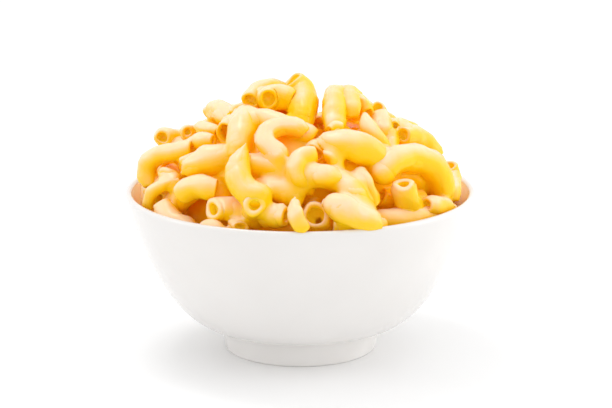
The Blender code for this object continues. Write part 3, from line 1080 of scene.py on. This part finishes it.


# A coat set here also paints shade and light: higher is a deeper yellow, lower paler.
SPECIAL_FORMS = {
    "deep_right": {"coat_and_shade": 0.1},
    "ring_left_high": {"coat_and_shade": 0.1},
    "back_slope": {"coat_and_shade": 0.1},
    "back_limb": {"coat_and_shade": 0.2},
    "ring_low_right": {"coat_and_shade": -0.15},
    "back_right": {"coat_and_shade": 0.2},
    "rim_right": {"coat_and_shade": -0.12},
    "crown_bed": {"coat_and_shade": 0},
    "s_curve": {"coat_and_shade": -0.24},
    "crown": {"bore": 0.6, "flat": 0.05, "taper_last": 0.42, "coat_and_shade": 0.3},
    "crown_left": {"bore": 0.6, "flat": 0.04, "coat_and_shade": 0.1},
    "crown_cave": {"bore": 0.6, "flat": 0.05, "open": 2.2, "coat_and_shade": 0.12},
    "column": {"flat": 0.05, "coat_and_shade": 0.14},
    "arch_left": {"bore": 0.68, "flat": -0.06, "open": 4.0},
    "loop_left": {"bore": 0.55, "flat": 0.05, "coat_and_shade": -0.08},
    "cup": {"bore": 0.6, "flat": -0.14, "flat_at": 0, "open": 3.0},
    "cup_lip": {"taper_first": 0.6, "round_first": 0.6, "coat_and_shade": -0.1},
    "ring_b": {"bore": 0.42, "flat": 0.02, "coat_and_shade": -0.06},
    "ring_a": {"bore": 0.46, "flat": 0.02, "coat_and_shade": -0.06},
    "ring_c": {"bore": 0.44, "flat": 0.02, "coat_and_shade": -0.04},
    "ring_high": {"bore": 0.55, "flat": 0.04},
    "ring_shoulder": {"bore": 0.5, "coat_and_shade": -0.04},
    "ring_far_right": {"bore": 0.52, "flat": 0.04},
    "ring_far_left": {"bore": 0.56, "flat": 0.04},
    "short_end": {"bore": 0.48, "flat": 0.03, "coat_and_shade": -0.14},
    "small_arch": {"bore": 0.5},
    "big_arch": {"round_first": 0.8, "flat": 0.04, "belly": 0.03, "coat_and_shade": -0.08},
    "pinched": {"taper_first": 0.72, "round_first": 0.7, "round_last": 0.5, "flat": 0.05, "coat_and_shade": 0.14},
    "pointed": {"taper_first": 0.5, "round_first": 0.7, "flat": 0.05, "coat_and_shade": 0.06},
    "pinched_tip": {"taper_first": 0.5, "round_first": 0.6},
    "blunt": {"round_first": 0.9, "flat": 0.02, "coat_and_shade": -0.04},
    "bump_back": {"round_last": 0.8},
    "slide_right": {"taper_first": 0.5, "coat_and_shade": 0.06},
    "long_arch": {"taper_first": 0.42, "round_first": 0.5, "flat": 0.05, "coat_and_shade": 0.06},
    "flank": {"taper_first": 0.62, "round_first": 0.5, "flat": 0.04, "coat_and_shade": -0.02},
    "left_stub": {"round_first": 0.6},
    "left_lens": {"round_first": 0.8, "round_last": 0.8},
    "low_dome": {"round_first": 0.8, "bore": 0.6, "flat": 0.03},
    "lap": {"taper_first": 0.3, "round_first": 0.5, "flat": 0.02, "coat_and_shade": -0.16},
    "mouth_right": {"bore": 0.66, "flat": -0.1, "flat_at": 0, "open": 3.0},
}


def joined_macaroni(name, lines, radii, forms, material):
    """Many macaroni as one mesh."""
    faces = grid_faces(len(STATIONS), AROUND)
    skins = [macaroni_skin(*piece) for piece in zip(lines, radii, forms)]
    all_faces = np.concatenate([faces + len(skin) * index for index, skin in enumerate(skins)])
    return make_piece(name, np.concatenate(skins), all_faces.tolist(), material)


hand_forms = [random_form() | SPECIAL_FORMS.get(name, {}) for name, *_ in HAND_LAID]
loose_forms = [random_form() for _ in loose_lines]
all_forms = hand_forms + loose_forms
print(f"{len(SPECIAL_FORMS)} forms by hand, {len(all_forms) - len(SPECIAL_FORMS)} by chance")

# %% [markdown]
# ## The finish of cheesy pasta
# Cooked pasta lets light in about a millimetre and gives it back warmer. Its colour
# goes from pale to a full yellow: partly the sauce, thin on the tops and pooled
# below, and partly painted light and shade, pale where the light falls and full
# yellow underneath, in the hollows and deep in the heap. Light that bounces from
# piece to piece loses its blue, so the hollows go to orange by themselves, and no
# shade below has to be orange. Inside a bore it is painted a lighter yellow again,
# painted light where little light gets in. A film of sauce gives soft, broad
# highlights, and small lumps of it break them up.


# %% Pasta and sauce
# From the palest, where sauce is thin and painted light falls, to the fullest, where
# sauce pools and painted shade falls; last, the painted light inside a bore.
SHADES = [
    (0.02, (1.0, 0.715, 0.44)),
    (0.11, (1.0, 0.65, 0.28)),
    (0.23, (1.0, 0.61, 0.11)),
    (0.36, (1.0, 0.60, 0.025)),
    (0.50, (1.0, 0.61, 0.003)),
    (0.74, (1.0, 0.63, 0.001)),
    (0.95, (1.0, 0.77, 0.02)),
]
CLOUD_SIZE = 5
CLOUD_AMOUNT = 0.16
FILM_SIZE = 2.2
FILM_HEIGHT = 0.10
SCATTER_DEPTH = 0.9


def cheesy_finish(name):
    """Pasta or sauce: one of the SHADES at each point, by the mark of sauce and painted shade there."""
    material, surface, tree = new_finish(name)
    cloud = add_noise(tree, CLOUD_SIZE, 4)
    # The mark named "sauce" holds painted light and shade as well as sauce.
    less = add_math(tree, "SUBTRACT", add_mark(tree, "sauce"), CLOUD_AMOUNT / 2)
    clouded = add_math(tree, "MULTIPLY_ADD", cloud, CLOUD_AMOUNT, less)
    tree.links.new(add_ramp(tree, clouded, SHADES), surface.inputs["Base Color"])
    add_bump(tree, add_noise(tree, FILM_SIZE, 4), FILM_HEIGHT, surface)
    surface.inputs["Roughness"].default_value = 0.22
    surface.inputs["IOR"].default_value = 1.38
    surface.inputs["Specular IOR Level"].default_value = 0.4
    surface.inputs["Subsurface Weight"].default_value = 0.3
    surface.inputs["Subsurface Radius"].default_value = (0.75, 0.6, 0.25)
    surface.inputs["Subsurface Scale"].default_value = SCATTER_DEPTH * MM
    return material


pasta = cheesy_finish("pasta in cheese sauce")
sauce_finish = cheesy_finish("cheese sauce")
print(f"{pasta.name} and {sauce_finish.name}: {len(SHADES)} shades")

# %% [markdown]
# ## The sauce and the core
# Sauce pulls itself into every crevice between two pieces, as a smooth fillet. A
# distance field does this well: every point of a grid holds its distance to each
# tube, and a soft minimum of those distances rounds off the places where two
# tubes meet. The field is drawn in a little, so that it hides under the pasta
# and comes out only in the crevices. A plain dome inside stands for the heap's
# unseen middle.

# %% Grid for the field
GRAIN = 1.0
FIELD_FLOOR = 44.0
CELLS_BELOW = 3
ROOM_ABOVE = 6.0
field_low = np.array([-RIM_RADIUS, -RIM_RADIUS, FIELD_FLOOR - CELLS_BELOW * GRAIN])
field_high = np.array([RIM_RADIUS, RIM_RADIUS, HEAP_TOP + ROOM_ABOVE])
field_size = np.ceil((field_high - field_low) / GRAIN).astype(int)
axes = [field_low[axis] + GRAIN * np.arange(field_size[axis]) for axis in range(3)]
print("the field's grid has", " x ".join(str(cells) for cells in field_size), "cells")


def window(points, margin):
    """The slices of the grid round some points, and the grid's places there."""
    low = np.floor((points.min(axis=0) - margin - field_low) / GRAIN).astype(int)
    high = np.ceil((points.max(axis=0) + margin - field_low) / GRAIN).astype(int) + 1
    low, high = np.clip(low, 0, field_size), np.clip(high, 0, field_size)
    part = tuple(slice(a, b) for a, b in zip(low, high))
    places = np.stack(np.meshgrid(*(axes[k][part[k]] for k in range(3)), indexing="ij"), axis=-1)
    return part, places.astype(np.float32)


def to_segment(places, start, end, start_radius, end_radius):
    """Distance from each place to a straight stretch of tube."""
    along = (end - start).astype(np.float32)
    share = np.clip((places - start.astype(np.float32)) @ along / (along @ along), 0, 1)
    away = np.linalg.norm(places - start.astype(np.float32) - share[..., None] * along, axis=-1)
    return away - start_radius - share * (end_radius - start_radius)


def to_tube(places, line, radii):
    """Distance from each place to a bent tube, given by every second point of its line."""
    stretches = zip(line[:-1:2], line[2::2], radii[:-1:2], radii[2::2])
    return np.min([to_segment(places, *stretch) for stretch in stretches], axis=0)


def blurred(share, reach_mm):
    """The average over a box that reaches so far each way, worked out by running sums."""
    steps = max(1, round(reach_mm / GRAIN))
    for axis in range(3):
        padding = [(steps + 1, steps) if k == axis else (0, 0) for k in range(3)]
        padded = np.pad(share, padding, mode="edge")
        sums = np.moveaxis(np.cumsum(padded, axis=axis, dtype=np.float64), axis, 0)
        share = np.moveaxis((sums[2 * steps + 1 :] - sums[: -2 * steps - 1]) / (2 * steps + 1), 0, axis)
    return share


# %% [markdown]
# The tubes in the field are the same as the meshes, taper and all, only a little
# thinner. Slow random hills and hollows are taken off or added, so that the sauce
# is thicker in one place than in the next.

# %% Tubes in the field
SOFT = 0.95
DRAWN_IN = 0.38
TUBE_REACH = 4
DISTANCE_LIMITS = (-3, 6)
UNEVEN = 0.2
NOISE_SEED = 7
NOISE_BLURS = (2.0, 1.5)
NOISE_LIMITS = (-1.5, 1.2)


def pooled_noise():
    """Soft random hills and hollows, about one high, for where the sauce is thick and thin."""
    hills = np.random.default_rng(NOISE_SEED).normal(size=field_size)
    for reach in NOISE_BLURS:
        hills = blurred(hills, reach)
    return np.clip(hills / hills.std(), *NOISE_LIMITS)


def tube_union():
    """The soft union of all the tubes, drawn in under the pasta, with uneven sauce."""
    near = np.zeros(field_size, np.float32)
    for line, radius, form in zip(all_lines, all_radii, all_forms):
        length = length_of(line)
        shares = np.linspace(radius / length, 1 - radius / length, JOINTS_ALONG)
        short, _ = smooth_line(line, shares)
        part, places = window(short, radius + TUBE_REACH)
        widths = radius * width_along(shares, length / radius, form) - DRAWN_IN
        distance = to_tube(places, short, widths)
        near[part] += np.exp(-np.clip(distance, *DISTANCE_LIMITS) / SOFT)
    return -SOFT * np.log(near + 1e-6) - UNEVEN * pooled_noise()


# %% Core in the field
CORE_INSET = 7.0
CORE_LIMITS = (-4, 4)
RIM_DROP = 6.0
RIM_DROP_FROM = 68.0
RIM_DROP_OVER = 9.0
BELOW_OUTLINE = 13.0
OUTLINE_STEPS = 8


def outline_above(across):
    """The height of the outline of the listed pieces, taken low over a few cells each way."""
    tops = VIEW_LOW + CELL * (covered.shape[1] - np.argmax(covered[:, ::-1], axis=1))
    tops[~covered.any(axis=1)] = VIEW_LOW
    steps = range(-OUTLINE_STEPS, OUTLINE_STEPS + 1)
    low = np.min([np.roll(tops, step) for step in steps], axis=0)
    return np.interp(across, np.arange(len(low)) * CELL - VIEW_ACROSS, low)


def core_field():
    """Distance from the plain dome inside the heap, which stays well under the outline."""
    places = np.stack(np.meshgrid(*axes, indexing="ij"), axis=-1)
    core = beyond_dome(places, CORE_INSET) * (DOME_RISE - CORE_INSET) / ROUNDNESS
    core += RIM_DROP * np.clip((RIM_DROP_FROM - places[..., 2]) / RIM_DROP_OVER, 0, 1)
    across, up, _ = as_seen(places)
    core = np.maximum(core, up - outline_above(across) + BELOW_OUTLINE)
    return np.clip(core, *CORE_LIMITS)


# %% [markdown]
# The sauce would close the ends of the tubes. So each open end is cut out of the
# field again as a short round hole, and the cells round it are marked, because the
# inside of a bore is painted a lighter yellow of its own: painted light, where little
# real light gets in. Last, the field is cut off a little inside the bowl's wall and
# at its own floor.

# %% Bores and limits of the field
HOLLOW_REACH = 0.2
CLOSED = 0.4
BEYOND_DOME = 1.5
OFF_THE_BOWL = 0.3


def open_bores(field):
    """Opens the ends of the bores in the field, and returns a grid of where those are."""
    hollow = np.zeros(field_size, np.float32)
    for line, radius, form in zip(all_lines, all_radii, all_forms):
        share = form["open"] / length_of(line)
        bore_radius = radius * form["bore"]
        both_ends = {"round_first": (0, share), "round_last": (1 - share, 1)}
        for ends in [ends for end, ends in both_ends.items() if form[end] < CLOSED]:
            stretch, _ = smooth_line(line, np.array(ends))
            part, places = window(stretch, bore_radius + 1)
            bore = to_segment(places, *stretch, bore_radius, bore_radius)
            field[part] = np.maximum(field[part], -bore)
            hollow[part] = np.maximum(hollow[part], bore < HOLLOW_REACH)
    return hollow


def limit_field(field):
    """Cuts the field off inside the bowl's wall and at its floor."""
    away = np.hypot(*np.meshgrid(axes[0], axes[1], indexing="ij"))
    wall = np.minimum(inner_radius(axes[2]), DOME_RADIUS + BEYOND_DOME) - OFF_THE_BOWL
    field = np.maximum(field, away[..., None] - wall)
    return np.maximum(field, (FIELD_FLOOR - axes[2])[None, None])


# %% Mesh of the sauce
import openvdb

FAR_OUTSIDE = 5.0
field = np.minimum(tube_union(), core_field())
hollow = open_bores(field)
field = limit_field(field).astype(np.float32)
volume = openvdb.FloatGrid(FAR_OUTSIDE)
volume.copyFromArray(field)
corners, _, quads = volume.convertToPolygons(isovalue=0.0, adaptivity=0.0)
sauce = make_piece("cheese_sauce", corners * GRAIN + field_low, quads.tolist(), sauce_finish)

# %% [markdown]
# ## Where the sauce gathers and shade is painted
# Sauce runs off the tops of the pieces, which dry a little and turn pale, and
# gathers underneath and in the hollows, where it is deep orange. The same number
# also paints light and shade: paler on faces turned up and to the left, towards the
# light, and deeper on faces turned from it, in crowded places and deep in the heap.
# Three things tell it for a point: how crowded the space in front of it is, read
# from a blurred copy of the distance field's inside; which way the surface faces;
# and how far the point is below the heap's outline. Some pieces also wear a thicker
# coat than others, and on some the coat paints shade and light too. All this is
# kept on the mesh as one number for each point, for the finish to read.


# %% Sauce and painted shade on each point
def read_grid(grid, points):
    """A grid's value between its own points; at its edge it goes on unchanged."""
    spot = np.clip((points - field_low) / GRAIN, 0, field_size - 1.001)
    base = spot.astype(int)
    part = spot - base
    total = np.zeros(len(points))
    for corner in np.ndindex(2, 2, 2):
        cell = base + corner
        weight = np.prod(np.where(corner, part, 1 - part), axis=1)
        total += weight * grid[cell[:, 0], cell[:, 1], cell[:, 2]]
    return total


solid = np.clip(0.5 - field / GRAIN, 0, 1)
solid[..., axes[2] < FIELD_FLOOR] = 1.0
# How far in front of the surface each blurred copy is read, and the copy. A crowded
# space in front of a point paints shade on it.
CROWDING = [(1.4, blurred(solid, 2.0)), (3.5, blurred(solid, 4.0))]
COAT_AND_SHADE_REACH = 3.0


def coat_and_shade_field():
    """How much thicker or thinner the sauce lies on each piece, with its painted shade, spread over the
    grid round it.
    """
    amount = np.zeros(field_size)
    weight = np.zeros(field_size)
    for line, form in zip(all_lines, all_forms):
        cells = np.clip((line - field_low) / GRAIN, 0, field_size - 1).astype(int)
        np.add.at(amount, tuple(cells.T), form["coat_and_shade"])
        np.add.at(weight, tuple(cells.T), 1.0)
    amount, weight = (blurred(blurred(grid, COAT_AND_SHADE_REACH), COAT_AND_SHADE_REACH) for grid in (amount, weight))
    return amount / (weight + 1e-9)


coats_and_shade = coat_and_shade_field()
print(f"coats from {coats_and_shade.min():.2f} to {coats_and_shade.max():.2f}")

# %% Add it up
DEEPEST = 0.75
# The mark inside a bore picks the lighter yellow: painted light in the bore.
IN_BORE = 1.1
# The way to the light, up and to the left: faces turned from it get painted shade, faces turned to it
# painted light.
TOWARD_LIGHT = np.array([-0.35, -0.1, 0.93])
TOPS_END = 0.88
UNDERS_START = -0.2
SUNK_FROM = 3.0
SUNK_REACH = 5.0
BY_CROWD_NEAR = 0.4
BY_CROWD_WIDE = 0.3
BY_TURNED_FROM_LIGHT = 0.8
BY_DEPTH = 0.5
RUNS_OFF = 0.15


def sauce_and_shade_outside(points, normals):
    """How much sauce and painted shade points of the outside get, from 0 to DEEPEST."""
    near, wide = (read_grid(crowd, points + normals * step) for step, crowd in CROWDING)
    turned_from_light = np.clip((TOPS_END - normals @ TOWARD_LIGHT) / (TOPS_END - UNDERS_START), 0, 1)
    sunk = np.clip((depth_in_heap(points) - SUNK_FROM) / SUNK_REACH, 0, 1)
    share = BY_CROWD_NEAR * near + BY_CROWD_WIDE * wide + BY_TURNED_FROM_LIGHT * turned_from_light
    share = share + BY_DEPTH * sunk + read_grid(coats_and_shade, points) - RUNS_OFF
    return DEEPEST * np.clip(share, 0, 1)


def mark_sauce_and_shade(piece, in_bore=None):
    """Stores how much sauce and painted shade each point of a piece gets. in_bore is 1 for points in a
    bore.
    """
    mesh = piece.data
    points = np.empty(len(mesh.vertices) * 3)
    mesh.vertices.foreach_get("co", points)
    normals = np.empty(len(mesh.vertices) * 3)
    mesh.vertices.foreach_get("normal", normals)
    points = points.reshape(-1, 3) / MM
    share = sauce_and_shade_outside(points, normals.reshape(-1, 3))
    if in_bore is None:
        in_bore = np.clip(read_grid(hollow, points) * 2 - 0.5, 0, 1)
    share += (IN_BORE - share) * in_bore
    # The mark is named "sauce", but holds painted light and shade as well.
    mark = mesh.attributes.new("sauce", "FLOAT", "POINT")
    mark.data.foreach_set("value", share.astype(np.float32))
    print(f"{piece.name}: sauce {np.median(share):.2f} in the middle")


# %% [markdown]
# ## Three meshes of macaroni
# The macaroni are joined into three meshes, so that none is too heavy: the listed
# ones, and the loose ones in two halves, from the upper layers and from the lower.
# With the sauce they stand in for the one solid of the engineers' model.

# %% Lay the pieces
half = len(loose_lines) // 2
pieces = [
    joined_macaroni("macaroni_front", hand_lines, hand_radii, hand_forms, pasta),
    joined_macaroni("macaroni_upper", loose_lines[:half], loose_radii[:half], loose_forms[:half], pasta),
    joined_macaroni("macaroni_lower", loose_lines[half:], loose_radii[half:], loose_forms[half:], pasta),
]
# The rings through each bore get the painted light of a bore.
bore_rings = np.repeat((STATIONS[:, 1] == -1).astype(float), AROUND)
for piece in pieces:
    mark_sauce_and_shade(piece, np.tile(bore_rings, len(piece.data.vertices) // len(bore_rings)))
mark_sauce_and_shade(sauce)
for piece in [*pieces, sauce]:
    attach(piece, "root")
for piece in [*pieces, sauce]:
    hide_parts("macaroni_heap")

# %% [markdown]
# ## Floor, light and camera
# Food looks fresh in a bright, soft room: a white table and white walls all round.
# The table is a plain sheet, far larger than the view, with hardly a cloud in
# its white, so that nothing on it draws the eye away from the food.

# %% Table
TABLE_SHADES = [(0.2, (0.90, 0.90, 0.90)), (0.8, (0.93, 0.93, 0.93))]
TABLE_CLOUD = 120
TABLE_HALF = 3000


def table_finish():
    """A plain matt white, hardly clouded."""
    material, surface, tree = new_finish("white table")
    tint = add_ramp(tree, add_noise(tree, TABLE_CLOUD, 2), TABLE_SHADES)
    tree.links.new(tint, surface.inputs["Base Color"])
    surface.inputs["Roughness"].default_value = 0.6
    return material


table_points = np.array([(-1, -1, 0), (1, -1, 0), (1, 1, 0), (-1, 1, 0)]) * TABLE_HALF
table = make_piece("table", table_points, [(0, 1, 2, 3)], table_finish())

# %% [markdown]
# Light goes from piece to piece many times in a heap as pale as this one, and the
# hollows glow instead of going dark. Four bounces, the usual limit, are too few.
# Most of the light is the white room's. A large window on the right gives it a
# direction, and two small ones, high up behind and on the left, put gloss on the
# tops of the pieces. Together they lay soft shadows on both sides of the bowl.

# %% Light
LIGHT_BOUNCES = 32
ROOM_LIGHT = 1.04
bpy.context.scene.cycles.max_bounces = LIGHT_BOUNCES
bpy.context.scene.cycles.diffuse_bounces = LIGHT_BOUNCES
world = bpy.data.worlds.new("white room")
bpy.context.scene.world = world
world.use_nodes = True
sky = world.node_tree.nodes["Background"]
sky.inputs["Color"].default_value = (1, 1, 1, 1)
sky.inputs["Strength"].default_value = ROOM_LIGHT


def add_window(name, place_mm, size_mm, watts):
    """A square soft light that looks at the heap."""
    light = bpy.data.lights.new(name, "AREA")
    light.size = size_mm * MM
    light.energy = watts
    lamp = bpy.data.objects.new(name, light)
    lamp.location = Vector(place_mm) * MM
    aim = Vector((0, 0, RIM_HEIGHT * MM)) - lamp.location
    lamp.rotation_euler = aim.to_track_quat("-Z", "Y").to_euler()
    bpy.context.scene.collection.objects.link(lamp)
    print(f"{name}: {watts} W")


add_window("roof window", place_mm=(-250, 250, 1050), size_mm=300, watts=1.9)
add_window("left window", place_mm=(-900, -50, 450), size_mm=240, watts=0.6)
add_window("side window", place_mm=(1200, 100, 500), size_mm=900, watts=4.2)

# %% [markdown]
# The camera sits at the seat from which the listed pieces were laid. It has a long
# lens, so that the bowl keeps its shape, and everything is sharp.

# %% Camera
LENS = 154.4
SENSOR_WIDTH = 36
lens = bpy.data.cameras.new("camera")
lens.lens = LENS
lens.sensor_width = SENSOR_WIDTH
camera = bpy.data.objects.new("camera", lens)
camera.location = Vector(EYE) * MM
camera.rotation_euler = (math.pi / 2 - LOOK_DOWN, 0, 0)
bpy.context.scene.collection.objects.link(camera)
bpy.context.scene.camera = camera
bpy.context.scene.view_settings.view_transform = "Standard"
print(f"camera {SEAT_DISTANCE} mm away")
